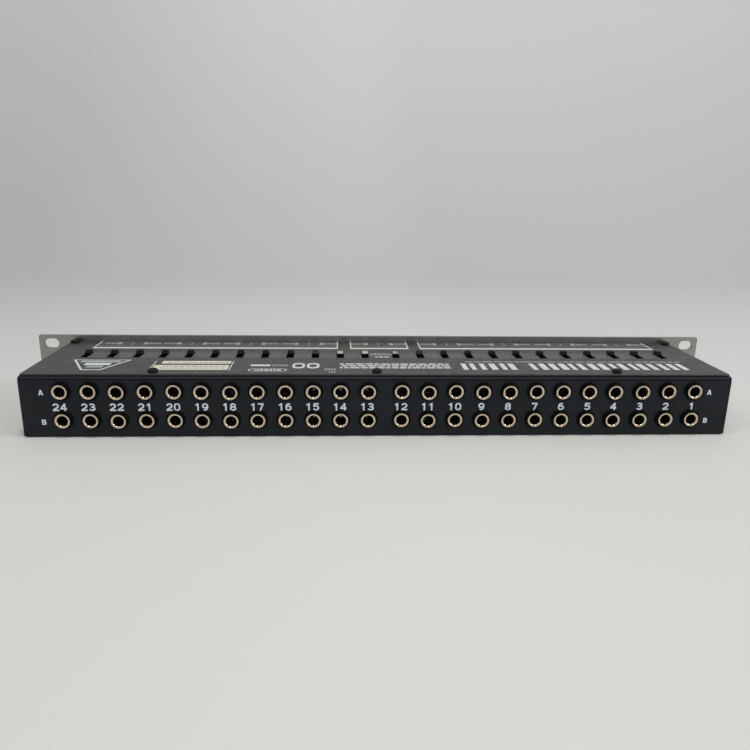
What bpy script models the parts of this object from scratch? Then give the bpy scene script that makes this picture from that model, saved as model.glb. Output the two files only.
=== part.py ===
"""Audio patch bay, 19 inch, one rack unit: a folded chassis tray, a cover and a front panel around
24 upright channel boards. Each board carries two front jacks, two rear jacks and a slide switch
whose lever stands up through the cover.

Frame: metres, +Z up, the front panel faces -Y and the rear jacks face +Y. The origin is on the
floor, in the middle of the object. Channel 1 is at -X and channel 24 is at +X.
"""

import math

import bmesh
import bpy

MM = 0.001
GAP = 0.3 * MM  # clearance between pieces that rest on each other

# Rack standard
RACK_WIDTH = 482.6 * MM
PANEL_HEIGHT = 44.0 * MM
RACK_SLOT_PITCH_X = 465.1 * MM
RACK_SLOT_PITCH_Z = 31.75 * MM
RACK_SLOT_LENGTH = 10.0 * MM
RACK_SLOT_WIDTH = 6.8 * MM
RACK_SLOT_SIDES = 12

# Box
DEPTH = 90.0 * MM  # front face of the front panel to the rear face of the chassis
PANEL_THICK = 2.0 * MM
CHASSIS_WIDTH = 437.0 * MM
SHEET = 1.2 * MM
CHASSIS_TOP = 38.3 * MM
FLANGE_DEPTH = 13.0 * MM
COVER_THICK = 1.0 * MM
COVER_INSET = 0.5 * MM
COVER_REAR_INSET = 2.0 * MM  # its rear edge stops where the chassis bends down
COVER_LIP_HEIGHT = 8.0 * MM
COVER_LIP_HALF_LENGTH = 29.0 * MM

# Channel grid
CHANNELS = 24
PITCH = 16.73 * MM
MIDDLE_PITCH = 20.66 * MM  # channel 12 to channel 13
ROW_Z = (29.3 * MM, 11.1 * MM)  # row A, row B

# Jack
NOSE_RADIUS = 4.9 * MM
NOSE_OUT = 2.6 * MM
BORE_RADIUS = 3.25 * MM
JACK_LENGTH = 33.2 * MM  # mouth of the nose to the open back of the body
JACK_HALF = 6.4 * MM
JACK_TO_PANEL = 0.5 * MM
NOSE_CLEARANCE = 0.35 * MM
ROUND_SIDES = 8

# Channel board
BOARD_THICK = 1.6 * MM
BOARD_OVERLAP = 0.1 * MM
BOARD_HALF_LENGTH = 38.0 * MM
BOARD_BOTTOM = 3.0 * MM
BOARD_TOP = 36.4 * MM

# Slide switch
SLOT_WIDTH = 4.8 * MM
SLOT_REAR_Y = 3.2 * MM
LEVER_WIDTH = 4.0 * MM
LEVER_LENGTH = 5.0 * MM
LEVER_TRAVEL = 8.0 * MM
LEVER_END_PLAY = 0.55 * MM
LEVER_ABOVE_COVER = 2.3 * MM
LEVER_RAMP = 1.7 * MM  # chamfer along the rear top edge, which makes the sloping rear face
LEVER_FOOT_Z = 36.5 * MM
STEM_WIDTH = 2.2 * MM
STEM_LENGTH = 3.2 * MM
STEM_BOTTOM = 33.2 * MM
HOUSING_TOP = 36.1 * MM
HOUSING_BOTTOM = 31.7 * MM
HOUSING_HALF_WIDTH = 4.0 * MM
HOUSING_WALL = 2.4 * MM
POCKET_BOTTOM = 32.6 * MM
POCKET_SIDE_PLAY = 0.4 * MM

# Screws
SCREW_HEAD_RADIUS = 3.1 * MM
SCREW_HEAD_HEIGHT = 1.8 * MM
SCREW_SHANK_RADIUS = 1.5 * MM
SCREW_HOLE_RADIUS = 2.1 * MM
SCREW_SIDES = 12
RECESS_WIDTH = 0.9 * MM
RECESS_LENGTH = 3.4 * MM
RECESS_DEPTH = 1.0 * MM
COVER_SCREW_LENGTH = 3.6 * MM
PANEL_SCREW_LENGTH = 8.0 * MM
COVER_SCREWS_XY = {
    "cover_screw_front_left": (214.4 * MM, -38.6 * MM),
    "cover_screw_front_right": (-214.4 * MM, -38.6 * MM),
    "cover_screw_rear_left": (141.1 * MM, 37.2 * MM),
    "cover_screw_rear_middle": (4.6 * MM, 37.2 * MM),
    "cover_screw_rear_right": (-147.3 * MM, 37.2 * MM),
}
PANEL_SCREW_X = 210.0 * MM
PANEL_SCREWS_Z = {"upper": 30.5 * MM, "lower": 10.0 * MM}
TAB_INNER_X = 205.5 * MM
TOP_TAB_DEPTH = 10.0 * MM

# Worked out from the above
REAR_Y = DEPTH / 2
FRONT_Y = -DEPTH / 2
PANEL_BACK_Y = FRONT_Y + PANEL_THICK
CHASSIS_FRONT_Y = PANEL_BACK_Y + GAP
HALF_CHASSIS = CHASSIS_WIDTH / 2
COVER_BOTTOM = CHASSIS_TOP + GAP
COVER_TOP = COVER_BOTTOM + COVER_THICK
SLOT_LENGTH = LEVER_LENGTH + LEVER_TRAVEL + 2 * LEVER_END_PLAY
SLOT_FRONT_Y = SLOT_REAR_Y - SLOT_LENGTH
LEVER_FRONT_Y = SLOT_FRONT_Y + LEVER_END_PLAY
STEM_FRONT_Y = LEVER_FRONT_Y + (LEVER_LENGTH - STEM_LENGTH) / 2
CUTTER_OVER = 1.0 * MM  # how far a cutter runs past the face that it opens

MATERIALS = {
    "front_panel_metal": ((0.62, 0.63, 0.64), 0.38, 0.9),
    "chassis_paint": ((0.030, 0.032, 0.036), 0.55, 0.2),
    "cover_paint": ((0.030, 0.030, 0.032), 0.5, 0.2),
    "jack_plastic": ((0.012, 0.012, 0.013), 0.45, 0.0),
    "lever_plastic": ((0.010, 0.010, 0.011), 0.25, 0.0),
    "screw_black": ((0.015, 0.015, 0.016), 0.35, 0.6),
}


def clear_scene():
    for obj in list(bpy.data.objects):
        bpy.data.objects.remove(obj, do_unlink=True)


def new_collection(name):
    collection = bpy.data.collections.new(name)
    bpy.context.scene.collection.children.link(collection)
    return collection


def make_material(name):
    colour, roughness, metallic = MATERIALS[name]
    material = bpy.data.materials.new(name)
    material.use_nodes = True
    shader = material.node_tree.nodes["Principled BSDF"]
    shader.inputs["Base Color"].default_value = (*colour, 1.0)
    shader.inputs["Roughness"].default_value = roughness
    shader.inputs["Metallic"].default_value = metallic
    return material


def add_box(bm, x, y, z):
    """A closed box between the limits in x, y and z, each a (low, high) pair."""
    for vert in bmesh.ops.create_cube(bm, size=1.0)["verts"]:
        vert.co.x = x[vert.co.x > 0]
        vert.co.y = y[vert.co.y > 0]
        vert.co.z = z[vert.co.z > 0]


def add_rod(bm, centre, radius, low, high, axis, sides=ROUND_SIDES):
    """A closed prism of regular section along axis Y or Z, whose flats average the radius."""
    corner = radius / math.sqrt(math.cos(math.pi / sides))
    made = bmesh.ops.create_cone(
        bm, cap_ends=True, segments=sides, radius1=corner, radius2=corner, depth=1.0
    )["verts"]
    turn = math.pi / sides
    for vert in made:
        across = vert.co.x * math.cos(turn) - vert.co.y * math.sin(turn)
        up = vert.co.x * math.sin(turn) + vert.co.y * math.cos(turn)
        along = high if vert.co.z > 0 else low
        if axis == "Z":
            vert.co = (centre[0] + across, centre[1] + up, along)
        else:
            vert.co = (centre[0] + across, along, centre[1] - up)
    return made


def finish_mesh(bm, name):
    mesh = bpy.data.meshes.new(name)
    bm.to_mesh(mesh)
    bm.free()
    return mesh


def new_object(name, mesh, collection, material=None):
    obj = bpy.data.objects.new(name, mesh)
    if material is not None:
        mesh.materials.clear()
        mesh.materials.append(material)
    collection.objects.link(obj)
    return obj


def new_helper(name, bm, helpers):
    """A cutter or a shape to be joined: it takes part in Booleans and is never rendered."""
    obj = new_object(name, finish_mesh(bm, name), helpers)
    obj.hide_render = True
    obj.display_type = "WIRE"
    return obj


def combine(target, helper, operation):
    modifier = target.modifiers.new(helper.name, "BOOLEAN")
    modifier.operation = operation
    modifier.object = helper
    modifier.solver = "EXACT"


def evaluated_mesh(obj, name):
    graph = bpy.context.evaluated_depsgraph_get()
    mesh = bpy.data.meshes.new_from_object(obj.evaluated_get(graph))
    mesh.name = name
    return mesh


def channel_x(channel):
    """The middle of a channel, which counts from 1 at -X to 24 at +X."""
    half = CHANNELS // 2
    if channel > half:
        return MIDDLE_PITCH / 2 + (channel - half - 1) * PITCH
    return -(MIDDLE_PITCH / 2 + (half - channel) * PITCH)


def both(value):
    return (-value, value)


def rack_slot_cutter(helpers):
    """Four slots with round ends, two in each ear."""
    bm = bmesh.new()
    limits = (FRONT_Y - CUTTER_OVER, PANEL_BACK_Y + CUTTER_OVER)
    half_run = (RACK_SLOT_LENGTH - RACK_SLOT_WIDTH) / 2
    for x in both(RACK_SLOT_PITCH_X / 2):
        for z in (side + PANEL_HEIGHT / 2 for side in both(RACK_SLOT_PITCH_Z / 2)):
            for vert in add_rod(bm, (x, z), RACK_SLOT_WIDTH / 2, *limits, "Y", RACK_SLOT_SIDES):
                vert.co.x += math.copysign(half_run, vert.co.x - x)
    return new_helper("rack_slot_cutter", bm, helpers)


def jack_hole_cutter(name, y_low, y_high, helpers):
    bm = bmesh.new()
    for channel in range(1, CHANNELS + 1):
        for z in ROW_Z:
            add_rod(bm, (channel_x(channel), z), NOSE_RADIUS + NOSE_CLEARANCE, y_low, y_high, "Y")
    return new_helper(name, bm, helpers)


def panel_screw_cutter(helpers):
    bm = bmesh.new()
    for x in both(PANEL_SCREW_X):
        for z in PANEL_SCREWS_Z.values():
            low = FRONT_Y - CUTTER_OVER
            high = CHASSIS_FRONT_Y + SHEET + CUTTER_OVER
            add_rod(bm, (x, z), SCREW_HOLE_RADIUS, low, high, "Y")
    return new_helper("panel_screw_cutter", bm, helpers)


def cover_screw_cutter(helpers):
    bm = bmesh.new()
    for x, y in COVER_SCREWS_XY.values():
        low = CHASSIS_TOP - SHEET - CUTTER_OVER
        high = COVER_TOP + CUTTER_OVER
        add_rod(bm, (x, y), SCREW_HOLE_RADIUS, low, high, "Z")
    return new_helper("cover_screw_cutter", bm, helpers)


def build_front_panel(parts, helpers, screw_cutter):
    bm = bmesh.new()
    add_box(bm, both(RACK_WIDTH / 2), (FRONT_Y, PANEL_BACK_Y), (0, PANEL_HEIGHT))
    panel = new_object(
        "front_panel", finish_mesh(bm, "front_panel"), parts, make_material("front_panel_metal")
    )
    combine(panel, rack_slot_cutter(helpers), "DIFFERENCE")
    holes = jack_hole_cutter(
        "front_hole_cutter", FRONT_Y - CUTTER_OVER, PANEL_BACK_Y + CUTTER_OVER, helpers
    )
    combine(panel, holes, "DIFFERENCE")
    combine(panel, screw_cutter, "DIFFERENCE")


def chassis_folds():
    """The folded walls that join the floor, as (name, x, y, z) limits."""
    walls = [
        (
            "rear_wall",
            both(HALF_CHASSIS),
            (REAR_Y - SHEET, REAR_Y),
            (0, CHASSIS_TOP),
        ),
        (
            "rear_flange",
            both(HALF_CHASSIS - 2 * SHEET),
            (REAR_Y - FLANGE_DEPTH, REAR_Y - SHEET / 2),
            (CHASSIS_TOP - SHEET, CHASSIS_TOP),
        ),
    ]
    for side, sign in (("left", 1), ("right", -1)):
        wall_x = sorted((sign * (HALF_CHASSIS - SHEET), sign * HALF_CHASSIS))
        tab_x = sorted((sign * TAB_INNER_X, sign * (HALF_CHASSIS - SHEET / 2)))
        walls += [
            (side + "_wall", wall_x, (CHASSIS_FRONT_Y, REAR_Y - SHEET / 2), (0, CHASSIS_TOP)),
            (
                side + "_front_tab",
                tab_x,
                (CHASSIS_FRONT_Y, CHASSIS_FRONT_Y + SHEET),
                (SHEET / 2, CHASSIS_TOP - SHEET / 2),
            ),
            (
                side + "_top_tab",
                tab_x,
                (CHASSIS_FRONT_Y + SHEET / 2, CHASSIS_FRONT_Y + TOP_TAB_DEPTH),
                (CHASSIS_TOP - SHEET, CHASSIS_TOP),
            ),
        ]
    return walls


def build_chassis(parts, helpers, panel_screws, cover_screws):
    bm = bmesh.new()
    add_box(bm, both(HALF_CHASSIS), (CHASSIS_FRONT_Y, REAR_Y), (0, SHEET))
    chassis = new_object(
        "chassis", finish_mesh(bm, "chassis"), parts, make_material("chassis_paint")
    )
    for name, x, y, z in chassis_folds():
        wall = bmesh.new()
        add_box(wall, x, y, z)
        combine(chassis, new_helper(name, wall, helpers), "UNION")
    holes = jack_hole_cutter(
        "rear_hole_cutter", REAR_Y - SHEET - CUTTER_OVER, REAR_Y + CUTTER_OVER, helpers
    )
    combine(chassis, holes, "DIFFERENCE")
    combine(chassis, panel_screws, "DIFFERENCE")
    combine(chassis, cover_screws, "DIFFERENCE")


def build_cover(parts, helpers, screw_cutter):
    bm = bmesh.new()
    half_width = HALF_CHASSIS - COVER_INSET
    add_box(
        bm, both(half_width), (CHASSIS_FRONT_Y, REAR_Y - COVER_REAR_INSET), (COVER_BOTTOM, COVER_TOP)
    )
    cover = new_object(
        "top_cover", finish_mesh(bm, "top_cover"), parts, make_material("cover_paint")
    )
    lip_outer = HALF_CHASSIS - SHEET - GAP
    for side, sign in (("left", 1), ("right", -1)):
        lip = bmesh.new()
        add_box(
            lip,
            sorted((sign * (lip_outer - COVER_THICK), sign * lip_outer)),
            both(COVER_LIP_HALF_LENGTH),
            (COVER_BOTTOM - COVER_LIP_HEIGHT, COVER_BOTTOM + COVER_THICK / 2),
        )
        combine(cover, new_helper(side + "_cover_lip", lip, helpers), "UNION")
    slots = bmesh.new()
    for channel in range(1, CHANNELS + 1):
        x = channel_x(channel)
        add_box(
            slots,
            (x - SLOT_WIDTH / 2, x + SLOT_WIDTH / 2),
            (SLOT_FRONT_Y, SLOT_REAR_Y),
            (COVER_BOTTOM - CUTTER_OVER, COVER_TOP + CUTTER_OVER),
        )
    combine(cover, new_helper("switch_slot_cutter", slots, helpers), "DIFFERENCE")
    combine(cover, screw_cutter, "DIFFERENCE")


def channel_shapes():
    """The jack bodies of one channel at x = 0, each with its nose, as (name, mesh) pairs."""
    body_face = REAR_Y - SHEET - JACK_TO_PANEL
    mouth = REAR_Y + NOSE_OUT
    back = mouth - JACK_LENGTH
    front_face = PANEL_BACK_Y + JACK_TO_PANEL
    shapes = []
    for z, row in zip(ROW_Z, "AB"):
        for side, sign, face in (("rear", 1, body_face), ("front", -1, front_face)):
            body = bmesh.new()
            add_box(body, both(JACK_HALF), sorted((face, sign * back)), (z - JACK_HALF, z + JACK_HALF))
            shapes.append((f"{side}_jack_{row}", body))
            nose = bmesh.new()
            inside = face - sign * JACK_TO_PANEL
            add_rod(nose, (0, z), NOSE_RADIUS, *sorted((inside, sign * mouth)), "Y")
            shapes.append((f"{side}_nose_{row}", nose))
    return shapes


def bore_cutter(helpers):
    """The plug's way through each jack, from the mouth to the open back."""
    mouth = REAR_Y + NOSE_OUT
    back = mouth - JACK_LENGTH
    bm = bmesh.new()
    for z in ROW_Z:
        for sign in (1, -1):
            limits = sorted((sign * (back - CUTTER_OVER), sign * (mouth + CUTTER_OVER)))
            add_rod(bm, (0, z), BORE_RADIUS, *limits, "Y")
    return new_helper("bore_cutter", bm, helpers)


def switch_pocket_cutter(helpers):
    """The trough in the switch housing that the lever's stem runs in."""
    bm = bmesh.new()
    half = STEM_WIDTH / 2 + POCKET_SIDE_PLAY
    pocket_y = (
        STEM_FRONT_Y - LEVER_END_PLAY,
        STEM_FRONT_Y + STEM_LENGTH + LEVER_TRAVEL + LEVER_END_PLAY,
    )
    add_box(bm, both(half), pocket_y, (POCKET_BOTTOM, HOUSING_TOP + CUTTER_OVER))
    return new_helper("switch_pocket_cutter", bm, helpers), pocket_y


def channel_module_mesh(helpers, material):
    """One upright board with its four jacks and its switch housing, joined into one solid."""
    board_x = JACK_HALF - BOARD_OVERLAP
    bm = bmesh.new()
    add_box(
        bm,
        (board_x, board_x + BOARD_THICK),
        both(BOARD_HALF_LENGTH),
        (BOARD_BOTTOM, BOARD_TOP),
    )
    template = new_helper("channel_template", bm, helpers)
    for name, shape in channel_shapes():
        combine(template, new_helper(name, shape, helpers), "UNION")
    pocket, pocket_y = switch_pocket_cutter(helpers)
    housing = bmesh.new()
    add_box(
        housing,
        (-HOUSING_HALF_WIDTH, board_x + BOARD_OVERLAP),
        (pocket_y[0] - HOUSING_WALL, pocket_y[1] + HOUSING_WALL),
        (HOUSING_BOTTOM, HOUSING_TOP),
    )
    combine(template, new_helper("switch_housing", housing, helpers), "UNION")
    combine(template, bore_cutter(helpers), "DIFFERENCE")
    combine(template, pocket, "DIFFERENCE")
    mesh = evaluated_mesh(template, "channel_module")
    mesh.materials.clear()
    mesh.materials.append(material)
    return mesh


def lever_mesh(helpers, material):
    """One lever: a block with a sloping rear face over a narrow stem. Its origin is at the front
    end of its block, on the cover's top face."""
    top = LEVER_ABOVE_COVER
    foot = LEVER_FOOT_Z - COVER_TOP
    bm = bmesh.new()
    add_box(bm, both(LEVER_WIDTH / 2), (0, LEVER_LENGTH), (foot, top))
    ramp_edges = [
        edge
        for edge in bm.edges
        if all(vert.co.y > LEVER_LENGTH / 2 and vert.co.z > 0 for vert in edge.verts)
    ]
    bmesh.ops.bevel(bm, geom=ramp_edges, offset=LEVER_RAMP, segments=1, affect="EDGES")
    template = new_helper("lever_template", bm, helpers)
    stem = bmesh.new()
    stem_front = (LEVER_LENGTH - STEM_LENGTH) / 2
    add_box(
        stem,
        both(STEM_WIDTH / 2),
        (stem_front, stem_front + STEM_LENGTH),
        (STEM_BOTTOM - COVER_TOP, foot + GAP),
    )
    combine(template, new_helper("lever_stem", stem, helpers), "UNION")
    mesh = evaluated_mesh(template, "switch_lever")
    mesh.materials.clear()
    mesh.materials.append(material)
    return mesh


def build_channels(parts, helpers):
    module = channel_module_mesh(helpers, make_material("jack_plastic"))
    lever = lever_mesh(helpers, make_material("lever_plastic"))
    for channel in range(1, CHANNELS + 1):
        x = channel_x(channel)
        board = new_object(f"channel_module_{channel:02d}", module, parts)
        board.location = (x, 0, 0)
        knob = new_object(f"switch_lever_{channel:02d}", lever, parts)
        knob.location = (x, LEVER_FRONT_Y, COVER_TOP)


def screw_mesh(name, length, helpers, material):
    """A pan-head screw along Z with a cross recess; its origin is under the head."""
    bm = bmesh.new()
    add_rod(bm, (0, 0), SCREW_HEAD_RADIUS, 0, SCREW_HEAD_HEIGHT, "Z", SCREW_SIDES)
    template = new_helper(name + "_template", bm, helpers)
    shank = bmesh.new()
    add_rod(shank, (0, 0), SCREW_SHANK_RADIUS, -length, GAP, "Z", ROUND_SIDES)
    combine(template, new_helper(name + "_shank", shank, helpers), "UNION")
    for turned in (False, True):
        bar = bmesh.new()
        long, short = both(RECESS_LENGTH / 2), both(RECESS_WIDTH / 2)
        floor = SCREW_HEAD_HEIGHT - RECESS_DEPTH
        x, y = (short, long) if turned else (long, short)
        add_box(bar, x, y, (floor, SCREW_HEAD_HEIGHT + CUTTER_OVER))
        combine(template, new_helper(f"{name}_recess_{turned:d}", bar, helpers), "DIFFERENCE")
    mesh = evaluated_mesh(template, name)
    mesh.materials.clear()
    mesh.materials.append(material)
    return mesh


def build_screws(parts, helpers):
    black = make_material("screw_black")
    cover_screw = screw_mesh("cover_screw", COVER_SCREW_LENGTH, helpers, black)
    for name, (x, y) in COVER_SCREWS_XY.items():
        screw = new_object(name, cover_screw, parts)
        screw.location = (x, y, COVER_TOP + GAP)
    panel_screw = screw_mesh("panel_screw", PANEL_SCREW_LENGTH, helpers, black)
    for side, x in (("left", PANEL_SCREW_X), ("right", -PANEL_SCREW_X)):
        for level, z in PANEL_SCREWS_Z.items():
            screw = new_object(f"panel_screw_{side}_{level}", panel_screw, parts)
            screw.location = (x, FRONT_Y - GAP, z)
            screw.rotation_euler = (math.pi / 2, 0, 0)


def main():
    clear_scene()
    parts = new_collection("audio_patch_bay")
    helpers = new_collection("cutters")
    panel_screws = panel_screw_cutter(helpers)
    cover_screws = cover_screw_cutter(helpers)
    build_front_panel(parts, helpers, panel_screws)
    build_chassis(parts, helpers, panel_screws, cover_screws)
    build_cover(parts, helpers, cover_screws)
    build_channels(parts, helpers)
    build_screws(parts, helpers)


main()
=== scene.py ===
"""Looks of the audio patch bay, built round its CAD frame: a folded black tray and cover, a bare
metal rack panel, 24 channel boards with four phone jacks and a slide switch each, and the prints.

World frame: metres, +Z up, the rack panel faces -Y and the rear jacks face +Y. Channel 1 is at -X.
Shapes are drawn in millimetres and scaled when they become meshes. A placed shape has its own axes:
u to the right and v up as its side is looked at, and w out of that side.
"""

import math
import random

import bmesh
import bpy
from mathutils import Matrix, Vector


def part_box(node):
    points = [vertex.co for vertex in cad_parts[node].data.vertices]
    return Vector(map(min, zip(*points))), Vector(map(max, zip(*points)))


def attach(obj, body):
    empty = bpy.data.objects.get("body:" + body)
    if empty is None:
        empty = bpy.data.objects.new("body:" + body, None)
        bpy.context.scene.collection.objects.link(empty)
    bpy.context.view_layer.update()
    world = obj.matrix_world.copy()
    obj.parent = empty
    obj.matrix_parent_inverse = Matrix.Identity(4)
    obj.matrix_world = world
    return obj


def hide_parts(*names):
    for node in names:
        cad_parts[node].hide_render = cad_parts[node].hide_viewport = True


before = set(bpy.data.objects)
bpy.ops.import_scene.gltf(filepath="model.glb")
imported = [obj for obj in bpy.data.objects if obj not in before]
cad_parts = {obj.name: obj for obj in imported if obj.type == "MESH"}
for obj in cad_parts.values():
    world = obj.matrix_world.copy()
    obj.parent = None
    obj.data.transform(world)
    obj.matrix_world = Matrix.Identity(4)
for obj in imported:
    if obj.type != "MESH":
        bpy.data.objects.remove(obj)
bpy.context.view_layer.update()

MM = 0.001
BODY = "patch_bay"
CHANNELS = range(1, 25)


def cad_box(node):
    low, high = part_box(node)
    return low / MM, high / MM


CHASSIS_LOW, CHASSIS_HIGH = cad_box("chassis")
PANEL_LOW, PANEL_HIGH = cad_box("front_panel")
COVER_LOW, COVER_HIGH = cad_box("top_cover")
REAR_Y = CHASSIS_HIGH.y
FRONT_Y = PANEL_LOW.y
HALF_CHASSIS = CHASSIS_HIGH.x
CHASSIS_TOP = CHASSIS_HIGH.z
COVER_TOP = COVER_HIGH.z
HALF_COVER = COVER_HIGH.x
SHEET = 1.2
COVER_THICK = 1.0
BEND = 1.8  # outer radius of the tray's folds
FOLD_END = BEND + 0.4  # where a fold's straight part ends, from the corner
TOP_BEND = 1.4  # outer radius of its rear top fold
TOP_SEAM = CHASSIS_TOP - TOP_BEND - 0.1  # where that fold's press line is
PRESS_LINE = 0.46  # the line's height
PRESS_DEPTH = 0.60
TAB_START = 205.5  # the inner end of the front tabs
ROW_Z = (29.3, 11.1)  # row A, row B
HOLE_RADIUS = 5.25
JACK_FACE = -1.7  # where a jack body's face is, from the outer side of its panel
JACK_BACK = -30.6
JACK_HALF = 6.4
JACK_BORE = 3.45
LATHE_STEPS = 48  # for nuts and bushes
PIN_Y = (17.5, 24.0, 31.0, 36.8)  # where jack pins go through the board, towards both ends
PIN_Z = (-3.8, 3.8)  # from the jack's middle
BOARD_X = (6.3, 7.9)
RACK_SLOT_X = 232.55
RACK_SLOT_Z = (6.125, 37.875)
SCREW_HOLE = 2.1
PANEL_SCREWS = [(x, z) for x in (-210.0, 210.0) for z in (10.0, 30.5)]
SCREW_NODES = [
    "cover_screw_front_left",
    "cover_screw_front_right",
    "cover_screw_rear_left",
    "cover_screw_rear_middle",
    "cover_screw_rear_right",
    "panel_screw_left_upper",
    "panel_screw_left_lower",
    "panel_screw_right_upper",
    "panel_screw_right_lower",
]
SLOT_Y = (-10.9, 3.2)
SLOT_HALF_WIDTH = 2.4


def lever_place(channel):
    """The middle in X and the front in Y of a channel's lever, at rest."""
    low, high = cad_box(f"switch_lever_{channel:02d}")
    return (low.x + high.x) / 2, low.y


CHANNEL_X = {channel: lever_place(channel)[0] for channel in CHANNELS}
LEVER_Y = lever_place(1)[1]


def screw_place(node):
    """The middle of a screw's box, and its lowest and highest corners."""
    low, high = cad_box(node)
    middle = (low + high) / 2
    return middle, low, high


COVER_SCREWS = {n: screw_place(n)[0].xy for n in SCREW_NODES if n.startswith("cover")}

# ---------------------------------------------------------------------------------------------
# Placing

UPWARD = Matrix.Identity(4)
ALONG_X = Matrix(((0, 0, 1, 0), (1, 0, 0, 0), (0, 1, 0, 0), (0, 0, 0, 1)))


def facing_rear(x=0.0, y=0.0, z=0.0):
    return Matrix(((-1, 0, 0, x), (0, 0, 1, y), (0, 1, 0, z), (0, 0, 0, 1)))


def facing_front(x=0.0, y=0.0, z=0.0):
    return Matrix(((1, 0, 0, x), (0, 0, -1, y), (0, 1, 0, z), (0, 0, 0, 1)))


# ---------------------------------------------------------------------------------------------
# Drawing


def block(bm, x, y, z, edge=0.0, steps=2, place=UPWARD, material=0):
    """A box between the limits in x, y and z, its edges rounded."""
    first_face = len(bm.faces)
    made = bmesh.ops.create_cube(bm, size=1.0)["verts"]
    for vert in made:
        corner = (x[vert.co.x > 0], y[vert.co.y > 0], z[vert.co.z > 0])
        vert.co = place @ Vector(corner)
    if edge:
        edges = list(dict.fromkeys(e for vert in made for e in vert.link_edges))
        bmesh.ops.bevel(
            bm, geom=edges, offset=edge, segments=steps, profile=0.5, affect="EDGES"
        )
    paint_from(bm, first_face, material)


def paint_from(bm, first_face, material):
    bm.faces.ensure_lookup_table()
    for face in bm.faces[first_face:]:
        face.material_index = material


def lathe(bm, profile, place=UPWARD, segments=40, closed=True, material=0):
    """A turned shape round w from (radius, height) points, which run up its outer side."""
    first_face = len(bm.faces)
    turns = [2 * math.pi * i / segments for i in range(segments)]
    rings = []
    for radius, height in profile:
        if radius < 1e-6:
            rings.append([bm.verts.new(place @ Vector((0, 0, height)))] * segments)
        else:
            rings.append(
                [
                    bm.verts.new(
                        place @ Vector((radius * math.cos(t), radius * math.sin(t), height))
                    )
                    for t in turns
                ]
            )
    uppers = rings[1:] + rings[:1] if closed else rings[1:]
    for lower, upper in zip(rings, uppers):
        for i in range(segments):
            j = (i + 1) % segments
            corners = list(dict.fromkeys((lower[i], lower[j], upper[j], upper[i])))
            if len(corners) > 2:
                bm.faces.new(corners)
    paint_from(bm, first_face, material)


def prism(bm, outline, low, high, place=UPWARD, edge=0.0, material=0):
    """A solid with an anticlockwise outline in u and v, from low to high in w."""
    first_face = len(bm.faces)
    ends = [
        [bm.verts.new(place @ Vector((u, v, w))) for u, v in outline] for w in (low, high)
    ]
    faces = [bm.faces.new(ends[0][::-1]), bm.faces.new(ends[1])]
    for i in range(len(outline)):
        j = (i + 1) % len(outline)
        faces.append(bm.faces.new((ends[0][i], ends[0][j], ends[1][j], ends[1][i])))
    if edge:
        edges = list(dict.fromkeys(e for face in faces for e in face.edges))
        bmesh.ops.bevel(bm, geom=edges, offset=edge, segments=2, profile=0.5, affect="EDGES")
    paint_from(bm, first_face, material)


def arc(centre, radius, start, end, steps):
    """Points from the start to the end angle, in degrees."""
    angles = [math.radians(start + (end - start) * i / steps) for i in range(steps + 1)]
    return [
        (centre[0] + radius * math.cos(a), centre[1] + radius * math.sin(a)) for a in angles
    ]


def rounded(u, v, radius, steps=5):
    """An anticlockwise rectangle between the limits in u and v, with round corners."""
    corners = (
        (u[1] - radius, v[0] + radius, -90),
        (u[1] - radius, v[1] - radius, 0),
        (u[0] + radius, v[1] - radius, 90),
        (u[0] + radius, v[0] + radius, 180),
    )
    return [
        point
        for cu, cv, start in corners
        for point in arc((cu, cv), radius, start, start + 90, steps)
    ]


def circle(u, v, radius, segments=40):
    return arc((u, v), radius, 0, 360 - 360 / segments, segments - 1)


def obround(u, v, length, width, steps=12):
    """The outline of a slot with round ends, its middle at u and v."""
    half = (length - width) / 2
    right = arc((u + half, v), width / 2, -90, 90, steps)
    left = arc((u - half, v), width / 2, 90, 270, steps)
    return right + left


def screw_hole(u, v):
    return circle(u, v, SCREW_HOLE, 24)


def rectangle(u, v):
    return [(u[0], v[0]), (u[1], v[0]), (u[1], v[1]), (u[0], v[1])]


def mirrored(outline):
    """The outline on the other side of u = 0, still anticlockwise."""
    return [(-u, v) for u, v in outline[::-1]]


def folded(path, thick=SHEET, bend=BEND, steps=5):
    """The outline of a folded sheet. The path is its outer face, which only turns left."""
    outer, inner = [], []
    for i, point in enumerate(path):
        here = Vector(point)
        before = (here - Vector(path[i - 1])).normalized() if i else None
        after = (Vector(path[i + 1]) - here).normalized() if i + 1 < len(path) else None
        if before is None or after is None:
            way = after or before
            outer.append(here)
            inner.append(here + Vector((-way.y, way.x)) * thick)
            continue
        centre = here - before * bend + after * bend
        start = math.degrees(math.atan2(-after.y, -after.x))
        outer += [Vector(p) for p in arc(centre, bend, start, start + 90, steps)]
        inner += [Vector(p) for p in arc(centre, bend - thick, start, start + 90, steps)]
    return [tuple(p) for p in outer + inner[::-1]]


def curve_mesh(curve):
    """The curve's filled shape as a mesh. The curve is removed."""
    obj = bpy.data.objects.new("drawing", curve)
    bpy.context.scene.collection.objects.link(obj)
    graph = bpy.context.evaluated_depsgraph_get()
    mesh = bpy.data.meshes.new_from_object(obj.evaluated_get(graph))
    bpy.data.objects.remove(obj)
    bpy.data.curves.remove(curve)
    return mesh


def add_mesh(bm, mesh, material):
    """Add the mesh to the drawing, its doubled points joined. The mesh is removed."""
    first_face = len(bm.faces)
    first_vert = len(bm.verts)
    bm.from_mesh(mesh)
    bpy.data.meshes.remove(mesh)
    bm.verts.ensure_lookup_table()
    bmesh.ops.remove_doubles(bm, verts=bm.verts[first_vert:], dist=1e-4)
    paint_from(bm, first_face, material)


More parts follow.
